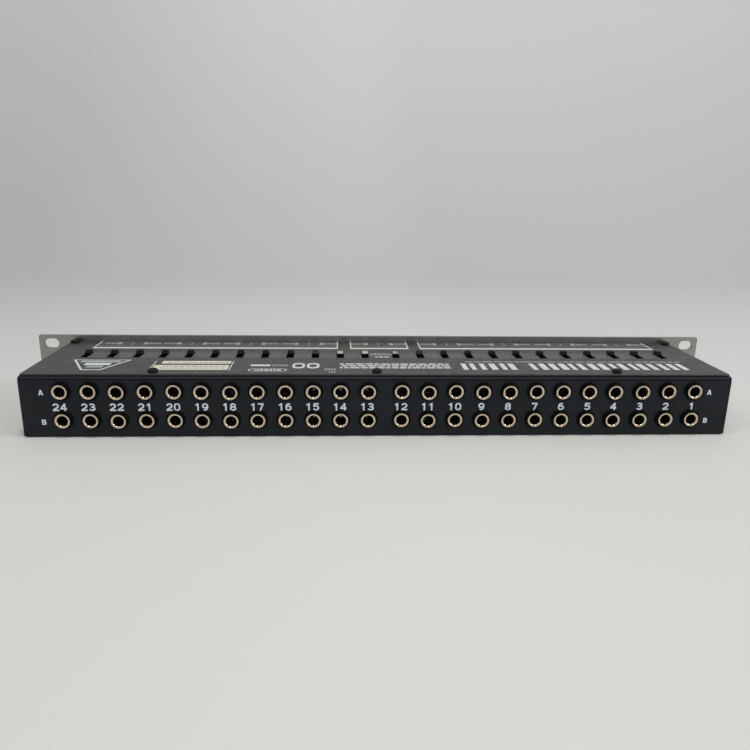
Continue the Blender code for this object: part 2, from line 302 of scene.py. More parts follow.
def plate(bm, outline, holes, low, high, place=UPWARD, edge=0.0, material=0):
    """A flat plate with holes, from low to high in w, its edges rounded."""
    curve = bpy.data.curves.new("plate", "CURVE")
    curve.dimensions = "2D"
    curve.fill_mode = "BOTH"
    curve.extrude = (high - low) / 2 - edge
    curve.bevel_depth = edge
    curve.bevel_resolution = 1
    curve.offset = -edge
    for points in [outline] + [hole[::-1] for hole in holes]:
        spline = curve.splines.new("POLY")
        spline.points.add(len(points) - 1)
        for target, (u, v) in zip(spline.points, points):
            target.co = (u, v, 0, 1)
        spline.use_cyclic_u = True
    mesh = curve_mesh(curve)
    mesh.transform(place @ Matrix.Translation((0, 0, (low + high) / 2)))
    add_mesh(bm, mesh, material)


def ellipse(u, v, half_width, half_height, start, end):
    """Points on an ellipse from the start to the end angle, in degrees."""
    steps = max(2, round(abs(end - start) / 15))
    return [
        (u + half_width * a, v + half_height * b) for a, b in arc((0, 0), 1.0, start, end, steps)
    ]


def glyph_strokes():
    """The middle lines of each digit's and letter's strokes, in mm, with whether each closes.

    They are drawn 5.3 mm tall round the middle, for strokes of STROKE.
    """
    six = [
        (ellipse(0, -0.78, 1.58, 1.34, 0, 345), True),
        (ellipse(0.10, -0.30, 1.70, 2.42, 176, 56), False),
    ]
    bowl_a = arc((0.35, 1.09), 1.03, 90, -90, 10)
    bowl_b = arc((0.50, -1.03), 1.09, 90, -90, 10)
    return {
        "0": [(rounded((-1.55, 1.55), (-2.12, 2.12), 1.35, 6), True)],
        "1": [([(0.30, -2.65), (0.30, 2.65)], False), ([(-1.25, 1.15), (0.35, 2.15)], False)],
        "2": [
            (ellipse(0, 0.82, 1.55, 1.30, 172, -38) + [(-1.45, -1.85)], False),
            ([(-2.05, -2.12), (2.05, -2.12)], False),
        ],
        "3": [
            (ellipse(-0.10, 1.09, 1.45, 1.03, 160, -90) + [(-0.70, 0.06)], False),
            ([(-0.70, 0.06)] + ellipse(-0.10, -1.03, 1.65, 1.09, 90, -162), False),
        ],
        "4": [
            ([(0.80, -2.65), (0.80, 2.65)], False),
            ([(0.75, 2.20), (-1.62, -0.80)], False),
            ([(-2.10, -1.02), (2.05, -1.02)], False),
        ],
        "5": [
            ([(-1.55, 2.12), (1.80, 2.12)], False),
            ([(-1.25, 2.30), (-1.38, 0.00)], False),
            (ellipse(-0.05, -0.72, 1.60, 1.40, 142, -158), False),
        ],
        "6": six,
        "7": [([(-1.95, 2.12), (1.95, 2.12)], False), ([(1.50, 2.20), (-0.55, -2.65)], False)],
        "8": [
            (ellipse(0, 1.13, 1.38, 0.99, 0, 345), True),
            (ellipse(0, -0.98, 1.58, 1.14, 0, 345), True),
        ],
        "9": [([(-u, -v) for u, v in points], closed) for points, closed in six],
        "A": [
            ([(-1.75, -2.65), (-0.12, 2.65)], False),
            ([(1.75, -2.65), (0.12, 2.65)], False),
            ([(-1.15, -1.10), (1.15, -1.10)], False),
        ],
        "B": [
            ([(-1.45, -2.65), (-1.45, 2.65)], False),
            ([(-1.45, 2.12)] + bowl_a + [(-1.45, 0.06)], False),
            ([(-1.45, 0.06)] + bowl_b + [(-1.45, -2.12)], False),
        ],
    }


GLYPHS = glyph_strokes()
GLYPH_HEIGHT = 5.3
GLYPH_PITCH = 5.0
STROKE = 1.06


def band_sides(points, width, closed):
    """The right and left sides of a band of that width along a line."""
    right, left = [], []
    for i, point in enumerate(points):
        here = Vector(point)
        ways = []
        if closed or i:
            ways.append((here - Vector(points[i - 1])).normalized())
        if closed or i + 1 < len(points):
            ways.append((Vector(points[(i + 1) % len(points)]) - here).normalized())
        way = sum(ways, Vector((0, 0))).normalized()
        across = Vector((-way.y, way.x)) * width / 2 / max(0.5, way.dot(ways[0]))
        right.append(tuple(here - across))
        left.append(tuple(here + across))
    return right, left


def glyph(bm, character, centre, height, place, thick, material=0):
    """A digit or letter of that height, its middle at centre in u and v, standing on w = 0."""
    scale = height / GLYPH_HEIGHT
    for i, (line, closed) in enumerate(GLYPHS[character]):
        points = [(centre[0] + u * scale, centre[1] + v * scale) for u, v in line]
        right, left = band_sides(points, STROKE * scale, closed)
        high = thick + 0.006 * i
        if closed:
            plate(bm, right, [left], 0, high, place, material=material)
        else:
            prism(bm, right + left[::-1], 0, high, place, material=material)


def number(bm, value, centre, height, place, thick, material=0):
    """A whole number, its middle at centre in u and v."""
    digits = str(value)
    pitch = GLYPH_PITCH * height / GLYPH_HEIGHT
    for i, digit in enumerate(digits):
        u = centre[0] + pitch * (i - (len(digits) - 1) / 2)
        glyph(bm, digit, (u, centre[1]), height, place, thick, material)


def make_mesh(name, bm, *materials, sharp=20):
    """The drawn shape as a mesh in metres, smooth except at sharp edges."""
    bmesh.ops.scale(bm, vec=(MM, MM, MM), verts=bm.verts)
    mesh = bpy.data.meshes.new(name)
    bm.to_mesh(mesh)
    bm.free()
    for material in materials:
        mesh.materials.append(material)
    mesh.shade_smooth()
    mesh.set_sharp_from_angle(angle=math.radians(sharp))
    return mesh


def add_piece(name, mesh, body=BODY, location=(0, 0, 0), turn=(0, 0, 0), nodes=()):
    """A piece that rides on the body and replaces the nodes. Its location is in mm."""
    obj = bpy.data.objects.new(name, mesh)
    obj.location = Vector(location) * MM
    obj.rotation_euler = turn
    bpy.context.scene.collection.objects.link(obj)
    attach(obj, body)
    if nodes:
        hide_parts(*nodes)
    return obj


# ---------------------------------------------------------------------------------------------
# Materials


def node(tree, kind, **values):
    """A shader node, with its settings and the values of its inputs by name."""
    made = tree.nodes.new(kind)
    for name, value in values.items():
        if hasattr(made, name):
            setattr(made, name, value)
        else:
            made.inputs[name.replace("_", " ").title()].default_value = value
    return made


def noise(tree, coordinates, scale, detail=3.0, stretch=None):
    """A noise value in object space. Its scale is in repeats a metre, divided by stretch."""
    made = node(tree, "ShaderNodeTexNoise", scale=scale, detail=detail)
    source = coordinates
    if stretch:
        mapping = node(tree, "ShaderNodeMapping")
        mapping.inputs["Scale"].default_value = [1 / s for s in stretch]
        tree.links.new(coordinates, mapping.inputs["Vector"])
        source = mapping.outputs[0]
    tree.links.new(source, made.inputs["Vector"])
    return made.outputs["Fac"]


def spread(tree, value, low, high, start=0.3, end=0.7):
    """The value mapped from start to end onto low to high, and held beyond them."""
    made = node(tree, "ShaderNodeMapRange")
    made.inputs["From Min"].default_value = start
    made.inputs["From Max"].default_value = end
    made.inputs["To Min"].default_value = low
    made.inputs["To Max"].default_value = high
    tree.links.new(value, made.inputs["Value"])
    return made.outputs["Result"]


def surface(
    name,
    colour,
    roughness,
    metallic=0.0,
    level=0.5,
    mottle=(40.0, 0.15),
    rough_noise=(300.0, 0.06),
    bumps=((1500.0, 0.05, None),),
    tint=(1.0, 1.0, 1.0),
):
    """A Principled material whose colour, gloss and surface vary by noise.

    mottle is (scale, share of the colour that varies), rough_noise is (scale, spread), and each
    of bumps is (scale, height in mm, stretch).
    """
    material = bpy.data.materials.new(name)
    material.use_nodes = True
    tree = material.node_tree
    shader = tree.nodes["Principled BSDF"]
    shader.inputs["Metallic"].default_value = metallic
    shader.inputs["Specular IOR Level"].default_value = level
    coordinates = node(tree, "ShaderNodeTexCoord").outputs["Object"]
    mix = node(tree, "ShaderNodeMix", data_type="RGBA")
    share = mottle[1]
    mix.inputs[6].default_value = (*[c * (1 - share) for c in colour], 1)
    mix.inputs[7].default_value = (
        *[min(1.0, c * t * (1 + share)) for c, t in zip(colour, tint)],
        1,
    )
    blotches = noise(tree, coordinates, mottle[0], 5.0)
    tree.links.new(spread(tree, blotches, 0.0, 1.0), mix.inputs[0])
    tree.links.new(mix.outputs[2], shader.inputs["Base Color"])
    patches = noise(tree, coordinates, rough_noise[0], 3.0)
    gloss = spread(tree, patches, roughness - rough_noise[1], roughness + rough_noise[1])
    tree.links.new(gloss, shader.inputs["Roughness"])
    normal = None
    for scale, height, stretch in bumps:
        bump = node(tree, "ShaderNodeBump")
        bump.inputs["Strength"].default_value = 1.0
        bump.inputs["Distance"].default_value = height * MM
        tree.links.new(noise(tree, coordinates, scale, 2.0, stretch), bump.inputs["Height"])
        if normal is not None:
            tree.links.new(normal, bump.inputs["Normal"])
        normal = bump.outputs["Normal"]
    if normal is not None:
        tree.links.new(normal, shader.inputs["Normal"])
    return material


BRUSHED = (60.0, 1.0, 1.0)  # scratches run along X

PAINT = surface(
    "black_powder_coat",
    (0.0095, 0.0112, 0.0150),
    0.46,
    level=0.22,
    mottle=(26.0, 0.14),
    rough_noise=(140.0, 0.05),
    bumps=((900.0, 0.05, None), (2600.0, 0.02, None)),
)
# The tray's black paint again, drawn about three times as light: painted light on the cover's top,
# where the lamps fall more than on the tray's walls.
LIT_COVER_COAT = surface(
    "black_cover_coat",
    (0.0310, 0.0312, 0.0320),
    0.42,
    mottle=(20.0, 0.05),
    rough_noise=(140.0, 0.05),
    bumps=((900.0, 0.05, None), (2600.0, 0.02, None)),
    tint=(1.03, 1.0, 0.98),
)
PANEL_METAL = surface(
    "plated_panel",
    (0.335, 0.340, 0.315),
    0.37,
    metallic=1.0,
    mottle=(18.0, 0.06),
    rough_noise=(60.0, 0.02),
    bumps=((2200.0, 0.001, BRUSHED),),
)
PANEL_FACE = surface(
    "brushed_panel_face",
    (0.62, 0.63, 0.64),
    0.34,
    metallic=1.0,
    mottle=(22.0, 0.05),
    rough_noise=(80.0, 0.05),
    bumps=((2600.0, 0.016, BRUSHED),),
)
JACK_PLASTIC = surface(
    "jack_plastic", (0.011, 0.011, 0.012), 0.42, bumps=((2400.0, 0.012, None),)
)
NUT_PLASTIC = surface(
    "nut_plastic", (0.0024, 0.0024, 0.0028), 0.40, level=0.06, bumps=((1800.0, 0.015, None),)
)
BUSH_METAL = surface(
    "nickel_bush",
    (0.69, 0.60, 0.465),
    0.17,
    metallic=1.0,
    mottle=(500.0, 0.10),
    rough_noise=(900.0, 0.07),
    bumps=((2500.0, 0.008, None),),
    tint=(1.0, 0.98, 0.94),
)
CONTACT_METAL = surface(
    "tinned_contact",
    (0.72, 0.68, 0.60),
    0.30,
    metallic=1.0,
    mottle=(400.0, 0.10),
    bumps=((2000.0, 0.008, None),),
)
SOLDER = surface(
    "solder",
    (0.62, 0.62, 0.62),
    0.24,
    metallic=1.0,
    mottle=(700.0, 0.12),
    bumps=((1500.0, 0.04, None),),
)
BOARD_GREEN = surface(
    "board_green",
    (0.012, 0.075, 0.030),
    0.28,
    mottle=(180.0, 0.25),
    rough_noise=(500.0, 0.05),
    bumps=((900.0, 0.02, None),),
)
TRACK_GREEN = surface(
    "board_track", (0.030, 0.150, 0.055), 0.30, mottle=(300.0, 0.15), bumps=((1200.0, 0.01, None),)
)
SWITCH_CAN = surface(
    "switch_can",
    (0.52, 0.52, 0.50),
    0.33,
    metallic=1.0,
    mottle=(250.0, 0.12),
    rough_noise=(600.0, 0.08),
    bumps=((1500.0, 0.02, None),),
)
SWITCH_BASE = surface(
    "switch_base", (0.090, 0.045, 0.020), 0.55, mottle=(400.0, 0.25), bumps=((1500.0, 0.03, None),)
)
LEVER_PLASTIC = surface(
    "lever_plastic",
    (0.005, 0.005, 0.0055),
    0.10,
    level=0.22,
    mottle=(500.0, 0.2),
    rough_noise=(700.0, 0.02),
    bumps=((1500.0, 0.002, None),),
)
SCREW_BLACK = surface(
    "black_oxide",
    (0.0045, 0.0045, 0.005),
    0.45,
    level=0.2,
    mottle=(500.0, 0.3),
    rough_noise=(900.0, 0.08),
    bumps=((1800.0, 0.02, None),),
)
PRINT_WHITE = surface(
    "print_white",
    (0.76, 0.84, 0.90),
    0.48,
    mottle=(900.0, 0.08),
    rough_noise=(700.0, 0.05),
    bumps=((1500.0, 0.012, None),),
)
COVER_PRINT = surface(
    "cover_print",
    (0.65, 0.69, 0.69),
    0.48,
    mottle=(900.0, 0.10),
    rough_noise=(700.0, 0.05),
    bumps=((1500.0, 0.012, None),),
)
PRINT_FAINT = surface(
    "cover_print_faint",
    (0.36, 0.39, 0.39),
    0.48,
    mottle=(900.0, 0.10),
    rough_noise=(700.0, 0.05),
    bumps=((1500.0, 0.012, None),),
)
PRINT_BLACK = surface(
    "print_black",
    (0.012, 0.012, 0.014),
    0.45,
    mottle=(900.0, 0.20),
    rough_noise=(700.0, 0.05),
    bumps=((1500.0, 0.012, None),),
)
PRINT_GREY = surface(
    "print_grey",
    (0.078, 0.080, 0.082),
    0.46,
    mottle=(120.0, 0.15),
    rough_noise=(200.0, 0.05),
    bumps=((900.0, 0.04, None),),
)
LABEL_PAPER = surface(
    "label_paper",
    (0.73, 0.715, 0.61),
    0.62,
    mottle=(260.0, 0.09),
    rough_noise=(400.0, 0.06),
    bumps=((1400.0, 0.02, None),),
)

# ---------------------------------------------------------------------------------------------
# Sheet metal


def jack_holes(sign):
    """The two rows of holes in a wall whose u runs along sign times X."""
    return [circle(sign * x, z, HOLE_RADIUS) for x in CHANNEL_X.values() for z in ROW_Z]


def add_tray_folds(bm):
    """The floor with its rear fold, the rear top fold, and the side walls with theirs."""
    inner = HALF_CHASSIS - BEND
    front = CHASSIS_LOW.y
    floor = folded([(front, 0), (REAR_Y, 0), (REAR_Y, FOLD_END)])
    prism(bm, floor, -inner, inner, ALONG_X)
    rise = [(REAR_Y, TOP_SEAM), (REAR_Y, CHASSIS_TOP), (REAR_Y - FOLD_END, CHASSIS_TOP)]
    top = folded(rise, bend=TOP_BEND)
    prism(bm, top, -HALF_CHASSIS + 0.3, HALF_CHASSIS - 0.3, ALONG_X)
    right = [(inner, 0), (HALF_CHASSIS, 0), (HALF_CHASSIS, CHASSIS_TOP)]
    for path in (right, mirrored(right)):
        prism(bm, folded(path), front, REAR_Y - SHEET - 0.1, facing_rear())


def add_tray_rear_wall(bm):
    """The pierced wall, the shallow line that the press leaves at its top, and its corners."""
    across = (-HALF_CHASSIS, HALF_CHASSIS)
    wall = rectangle(across, (FOLD_END, TOP_SEAM - PRESS_LINE))
    plate(bm, wall, jack_holes(-1), REAR_Y - SHEET, REAR_Y, facing_rear())
    line = rectangle(across, (TOP_SEAM - 2 * PRESS_LINE, TOP_SEAM + PRESS_LINE))
    prism(bm, line, REAR_Y - SHEET + 0.05, REAR_Y - PRESS_DEPTH, facing_rear())
    for v in ((0.9, FOLD_END), (TOP_SEAM, CHASSIS_TOP - 0.9)):
        for u in ((-HALF_CHASSIS, -HALF_CHASSIS + BEND), (HALF_CHASSIS - BEND, HALF_CHASSIS)):
            outline = rectangle(u, v)
            prism(bm, outline, REAR_Y - SHEET, REAR_Y, facing_rear())


def add_tray_flanges(bm):
    """The rear flange under the cover, and the tabs at both front corners."""
    rear_holes = [screw_hole(x, y) for x, y in COVER_SCREWS.values() if y > 0]
    half = HALF_CHASSIS - 2.4
    flange = rectangle((-half, half), (REAR_Y - 13.0, REAR_Y - FOLD_END))
    low, high = CHASSIS_TOP - SHEET, CHASSIS_TOP
    plate(bm, flange, rear_holes, low, high)
    front = CHASSIS_LOW.y
    for sign in (-1, 1):
        across = sorted((sign * TAB_START, sign * (HALF_CHASSIS - SHEET)))
        tab = rectangle(across, (front + SHEET, front + 10.0))
        cover_screws = [(x, y) for x, y in COVER_SCREWS.values() if y < 0 and x * sign > 0]
        plate(bm, tab, [screw_hole(x, y) for x, y in cover_screws], low, high)
        panel_tab = mirrored(rectangle(across, (SHEET, CHASSIS_TOP - 0.6)))
        holes = [mirrored(screw_hole(x, z)) for x, z in PANEL_SCREWS if x * sign > 0]
        plate(bm, panel_tab, holes, front, front + SHEET, facing_rear())


def build_tray():
    bm = bmesh.new()
    add_tray_folds(bm)
    add_tray_rear_wall(bm)
    add_tray_flanges(bm)
    add_piece("tray", make_mesh("tray", bm, PAINT), nodes=("chassis",))


def build_rack_panel():
    """The plated panel. Its front face is brushed, and the rest is as it was rolled."""
    bm = bmesh.new()
    outline = rounded((PANEL_LOW.x, PANEL_HIGH.x), (PANEL_LOW.z, PANEL_HIGH.z), 1.6)
    holes = jack_holes(1)
    holes += [obround(sign * RACK_SLOT_X, z, 10.0, 6.8) for sign in (-1, 1) for z in RACK_SLOT_Z]
    holes += [screw_hole(x, z) for x, z in PANEL_SCREWS]
    plate(bm, outline, holes, 0, PANEL_HIGH.y - FRONT_Y, facing_front(y=PANEL_HIGH.y), edge=0.25)
    bm.normal_update()
    for face in bm.faces:
        if face.normal.y < -0.5:
            face.material_index = 1
    mesh = make_mesh("rack_panel", bm, PANEL_METAL, PANEL_FACE)
    add_piece("rack_panel", mesh, nodes=("front_panel",))


def build_cover():
    """The flat cover, with a slot for each switch and a stiffening lip inside each side wall."""
    bm = bmesh.new()
    outline = rounded((-HALF_COVER, HALF_COVER), (COVER_LOW.y, COVER_HIGH.y), 0.8)
    holes = [
        rectangle((x - SLOT_HALF_WIDTH, x + SLOT_HALF_WIDTH), SLOT_Y) for x in CHANNEL_X.values()
    ]
    holes += [screw_hole(x, y) for x, y in COVER_SCREWS.values()]
    plate(bm, outline, holes, COVER_TOP - COVER_THICK, COVER_TOP, edge=0.18)
    lip = HALF_CHASSIS - SHEET - 0.3
    for sign in (-1, 1):
        across = sorted((sign * (lip - COVER_THICK), sign * lip))
        block(bm, across, (-29.0, 29.0), (COVER_LOW.z, COVER_TOP - 0.5), edge=0.2)
    add_piece("cover", make_mesh("cover", bm, LIT_COVER_COAT), nodes=("top_cover",))


# ---------------------------------------------------------------------------------------------
# Channels


def jack_places():
    """A placing for each of a channel's four jacks, with w = 0 on the panel's outer side."""
    places = []
    for z in ROW_Z:
        places.append(facing_rear(0.0, REAR_Y, z))
        places.append(facing_front(0.0, FRONT_Y, z))
    return places


def bush_profile():
    """The threaded nose, its rounded mouth and the sleeve that the plug runs in."""
    thread = []
    for i in range(2):
        height = 0.05 + 0.45 * i
        thread += [(4.86, height), (4.74, height + 0.22)]
    rim = [(4.46, 0.75), (4.46, 2.50), (4.16, 2.60)]
    throat = [(3.92, 2.60)] + arc((3.92, 1.85), 0.75, 90, 180, 6)
    back = [(3.50, -7.0), (3.50, JACK_FACE), (4.90, JACK_FACE)]
    return back + thread + rim + throat + [(3.17, -7.0)]


def nut_profile():
    """A round nut with a crowned face, which reaches in over the bush's shoulder."""
    outer = [(4.95, 0.02), (5.72, 0.02), (5.78, 0.12), (5.78, 0.95)]
    crown = arc((5.43, 1.00), 0.35, 0, 90, 4)
    return outer + crown + [(4.75, 1.35), (4.56, 1.22), (4.56, 1.05), (4.95, 1.00)]


def bush_mesh():
    bm = bmesh.new()
    for place in jack_places():
        lathe(bm, bush_profile(), place, LATHE_STEPS)
    return make_mesh("bushes", bm, BUSH_METAL, sharp=40)


def nut_mesh():
    bm = bmesh.new()
    for place in jack_places():
        lathe(bm, nut_profile(), place, LATHE_STEPS)
    return make_mesh("nuts", bm, NUT_PLASTIC, sharp=40)


def jack_body_mesh():
    """A square body round the plug's way, with ribs and a stepped front."""
    bm = bmesh.new()
    half = (-JACK_HALF, JACK_HALF)
    slim = (-JACK_HALF + 0.5, JACK_HALF - 0.5)
    bore = [circle(0, 0, JACK_BORE, 32)]
    for place in jack_places():
        plate(bm, rounded(half, half, 0.7, 3), bore, -6.5, JACK_FACE, place, edge=0.2)
        plate(bm, rounded(slim, slim, 0.5, 3), bore, -27.6, -6.3, place, edge=0.15)
        plate(bm, rounded(half, half, 0.7, 3), bore, JACK_BACK, -27.4, place, edge=0.2)
        for w in (-12.5, -18.0, -23.0):
            for v in ((-JACK_HALF, -JACK_HALF + 0.7), (JACK_HALF - 0.7, JACK_HALF)):
                block(bm, (-4.6, 4.6), v, (w - 0.5, w + 0.5), 0.12, 1, place)
    return make_mesh("jack_bodies", bm, JACK_PLASTIC)


def leaf(bm, points, thick, half_width, place):
    """A bent contact strip, whose line runs in w and v."""
    side = Matrix(((0, 0, 1, 0), (0, 1, 0, 0), (-1, 0, 0, 0), (0, 0, 0, 1)))
    above = [(-w, v + thick) for w, v in points]
    below = [(-w, v) for w, v in points]
    prism(bm, below + above[::-1], -half_width, half_width, place @ side)


def contact_mesh():
    """Two springs in each jack, and its pins through the board."""
    bm = bmesh.new()
    for place in jack_places():
        reach = [(-8.5, 3.05), (-10.5, 2.35), (-13.0, 2.75), (-27.0, 3.10), (-31.6, 3.10)]
        for sign in (1, -1):
            turned = place @ Matrix.Rotation(0 if sign > 0 else math.pi, 4, "Z")
            leaf(bm, reach, 0.22, 0.9, turned)
    for side in (1, -1):
        for z in ROW_Z:
            for y in PIN_Y:
                for dz in PIN_Z:
                    low, high = sorted((side * (y - 0.45), side * (y + 0.45)))
                    block(bm, (5.7, 9.0), (low, high), (z + dz - 0.35, z + dz + 0.35), 0.08, 1)
    return make_mesh("contacts", bm, CONTACT_METAL)


def board_mesh():
    """The upright board with its tracks, pads and solder joints."""
    draw = random.Random(24)
    bm = bmesh.new()
    holes = [circle(y, z, 1.1, 20) for y in (-5.5, 9.0) for z in (6.5, 20.2)]
    plate(bm, rounded((-38.0, 38.0), (3.0, 36.4), 1.0, 4), holes, *BOARD_X, ALONG_X, edge=0.06)
    pads = [
        (side * y, z + dz)
        for side in (1, -1)
        for z in ROW_Z
        for y in PIN_Y
        for dz in PIN_Z
    ]
    for y, z in pads:
        cone = [(1.15, 0), (1.10, 0.08), (0.62, 0.45), (0.50, 0.9), (0, 1.0)]
        place = ALONG_X @ Matrix.Translation((y, z, BOARD_X[1]))
        lathe(bm, cone, place, 14, closed=False, material=2)
    for y, z in pads:
        reach = -1 if y > 0 else 1
        turn_y = y + reach * draw.uniform(3.0, 14.0)
        turn_z = min(34.0, max(5.0, z + draw.choice((-2.4, -1.2, 1.2, 2.4))))
        x = (BOARD_X[1] - 0.01, BOARD_X[1] + 0.05)
        block(bm, x, sorted((y, turn_y)), (z - 0.22, z + 0.22), material=1)
        block(bm, x, (turn_y - 0.22, turn_y + 0.22), sorted((z, turn_z)), material=1)
        block(bm, x, sorted((turn_y, reach * -1.5)), (turn_z - 0.22, turn_z + 0.22), material=1)
    return make_mesh("board", bm, BOARD_GREEN, TRACK_GREEN, SOLDER)


def switch_mesh():
    """The slide switch under the cover: a sheet can with a slotted top over a brown base."""
    bm = bmesh.new()
    x, y = (-4.0, 4.0), (-12.4, 4.7)
    plate(bm, rounded(x, y, 0.4, 3), [rectangle((-1.5, 1.5), (-10.0, 2.3))], 35.7, 36.1)
    for low in (-4.0, 3.7):
        block(bm, (low, low + 0.3), y, (32.3, 35.8))
    for low in (-12.4, 4.4):
        block(bm, (-3.8, 3.8), (low, low + 0.3), (32.3, 35.8))
    for low in (-9.5, 0.0):
        block(bm, (-4.15, -3.9), (low, low + 2.0), (31.7, 34.0), 0.1, 1)
    block(bm, (-3.7, 6.4), (-12.1, 4.4), (31.7, 32.6), 0.1, 1, material=1)
    block(bm, (4.0, 6.4), (-11.0, 3.3), (32.4, 34.6), 0.1, 1, material=1)
    return make_mesh("switch", bm, SWITCH_CAN, SWITCH_BASE)


def lever_mesh():
    """A block with two grip grooves and a sloping rear face, on a stem. Its origin is at its front,
    on the cover's top."""
    outline = [(0.0, -3.1), (5.0, -3.1), (5.0, 0.6), (3.3, 2.3)]
    for start in (2.9, 1.7):
        outline += [(start, 2.3), (start - 0.22, 1.95), (start - 0.50, 1.95), (start - 0.72, 2.3)]
    outline.append((0.0, 2.3))
    bm = bmesh.new()
    prism(bm, outline, -2.0, 2.0, ALONG_X, edge=0.14)
    block(bm, (-1.1, 1.1), (0.9, 4.1), (-6.4, -3.0), 0.1, 1)
    return make_mesh("lever", bm, LEVER_PLASTIC, sharp=8)


def build_channels():
    """Each channel's board, jacks and switch, and its lever on a body of its own."""
    meshes = {
        "board": (board_mesh(), "board_green"),
        "jack_bodies": (jack_body_mesh(), "jack_plastic"),
        "bushes": (bush_mesh(), "bush_metal"),
        "nuts": (nut_mesh(), "jack_plastic"),
        "contacts": (contact_mesh(), "contact_metal"),
        "switch": (switch_mesh(), "contact_metal"),
    }
    lever = lever_mesh()
    draw = random.Random(8)
    for channel in CHANNELS:
        label = f"{channel:02d}"
        play = (draw.uniform(-0.3, 0.3), 0, draw.uniform(-0.3, 0.3))  # in the panels' holes
        for name, (mesh, slot) in meshes.items():
            seated = Vector(play) if name in ("bushes", "nuts") else Vector()
            add_piece(
                f"{name}_{label}",
                mesh,
                location=Vector((CHANNEL_X[channel], 0, 0)) + seated,
                nodes=("channel_module_" + label,),
            )
        add_piece(
            "knob_" + label,
            lever,
            body="lever_" + label,
            location=(CHANNEL_X[channel], LEVER_Y, COVER_TOP),
            nodes=("switch_lever_" + label,),
        )


# ---------------------------------------------------------------------------------------------
# Screws


def screw_mesh(length):
    """A pan-head screw with a cross recess; its origin is under the head."""
    shank = [(0.0, -length), (1.1, -length)]
    turns = int((length - 0.4) / 0.5)
    for i in range(turns):
        height = -length + 0.3 + 0.5 * i
        shank += [(1.5, height), (1.28, height + 0.25)]
    head = [(1.3, 0.0), (3.0, 0.0), (3.1, 0.12), (3.1, 0.55)]
    head += [(2.98, 1.00), (2.60, 1.42), (1.95, 1.70), (1.10, 1.80), (0.0, 1.80)]
    bm = bmesh.new()
    lathe(bm, shank + head, segments=32, closed=False)
    screw = bpy.data.objects.new("screw", make_mesh("screw", bm, SCREW_BLACK, sharp=32))
    cross = bmesh.new()
    arm = [(-1.75, 1.9), (-0.55, 0.75), (0.55, 0.75), (1.75, 1.9)]
    prism(cross, arm, -0.42, 0.42, facing_front())
    prism(cross, arm, -0.42, 0.42, ALONG_X)
    cutter = bpy.data.objects.new("cross", make_mesh("cross", cross, SCREW_BLACK, sharp=32))
    for obj in (screw, cutter):
        bpy.context.scene.collection.objects.link(obj)
    cut = screw.modifiers.new("cross", "BOOLEAN")
    cut.operation = "DIFFERENCE"
    cut.use_self = True
    cut.object = cutter
    graph = bpy.context.evaluated_depsgraph_get()
    mesh = bpy.data.meshes.new_from_object(screw.evaluated_get(graph))
    for obj in (screw, cutter):
        bpy.data.objects.remove(obj)
    return mesh


def build_screws():
    cover_screw, panel_screw = screw_mesh(3.6), screw_mesh(8.0)
    draw = random.Random(5)
    for name in SCREW_NODES:
        middle, low, high = screw_place(name)
        twist = draw.uniform(0, math.pi / 2)
        if name.startswith("cover"):
            place = (middle.x, middle.y, high.z - 1.8)
            mesh, turn = cover_screw, (0, 0, twist)
        else:
            place = (middle.x, low.y + 1.8, middle.z)
            mesh, turn = panel_screw, (math.pi / 2, twist, 0)
        piece_name = name.replace("screw", "fixing")
        add_piece(piece_name, mesh, location=place, turn=turn, nodes=(name,))


# ---------------------------------------------------------------------------------------------
# Prints

INK = 0.04
TINT = 0.02  # a thinner print
PRINT_FOOT = COVER_TOP - 0.005  # a print on the cover starts just below its top
NUMBER_Z = 19.4
NUMBER_HEIGHT = 4.85
NUMBER_SHIFT = 0.45  # the numbers are printed a little to one side of their columns,
NUMBER_SPREAD = 1.0043  # and on a slightly wider pitch
LETTER_HEIGHT = 3.3


def print_numbers(name, place, sign, ink, outer):
    """Channel numbers between the rows, and the rows' letters at both ends."""
    bm = bmesh.new()
    for channel, x in CHANNEL_X.items():
        u = sign * (x * NUMBER_SPREAD + NUMBER_SHIFT)
        number(bm, channel, (u, NUMBER_Z), NUMBER_HEIGHT, place, INK)
    for u in (-outer, outer - 0.7):
        for letter, z in (("A", ROW_Z[0] - 0.7), ("B", ROW_Z[1] - 1.2)):
            glyph(bm, letter, (u, z), LETTER_HEIGHT, place, INK)
    add_piece(name, make_mesh(name, bm, ink))


def bar(bm, x, y, material=0):
    """A printed bar on the cover."""
    block(bm, sorted(x), sorted(y), (PRINT_FOOT, COVER_TOP + INK), material=material)


def words(bm, x, y, gap, draw, sizes, material=0):
    """A line of plain bars where a line of small print would be."""
    start = x[0]
    while start < x[1]:
        end = min(x[1], start + draw.uniform(*sizes))
        bar(bm, (start, end), y, material)
        start = end + gap


def add_flow_mark(bm, x, draw):
    """A generic signal path: bars and a block each way, and three dots between them."""
    for sign in (-1, 1):
        bar(bm, (x + sign * 7.6, x + sign * 10.4), (-39.4, -33.4), 1)
        words(bm, sorted((x + sign * 11.0, x + sign * 19.4)), (-38.0, -35.0), 0.6, draw, (1, 2), 1)
    for y in (-38.6, -36.0, -33.4):
        bar(bm, (x - 0.7, x + 0.7), (y - 0.6, y + 0.6), 1)


def print_mode_boxes(bm, draw):
    """Three boxes, open at the panel, with four, one and four signal paths."""
    for left, right, count in ((28.6, 197.0, 4), (-21.2, 20.0, 1), (-198.0, -29.2, 4)):
        bar(bm, (left, right), (-24.8, -21.4))
        for x in (left, right):
            inward = 0.9 if x == left else -0.9
            bar(bm, (x, x + inward), (-42.3, -24.3))
        block(bm, (left, right), (-42.6, -24.6), (PRINT_FOOT, COVER_TOP + TINT), material=2)
        pitch = (min(right, 194.2) - left) / count
        for i in range(count):
            add_flow_mark(bm, left + pitch * (i + 0.5), draw)


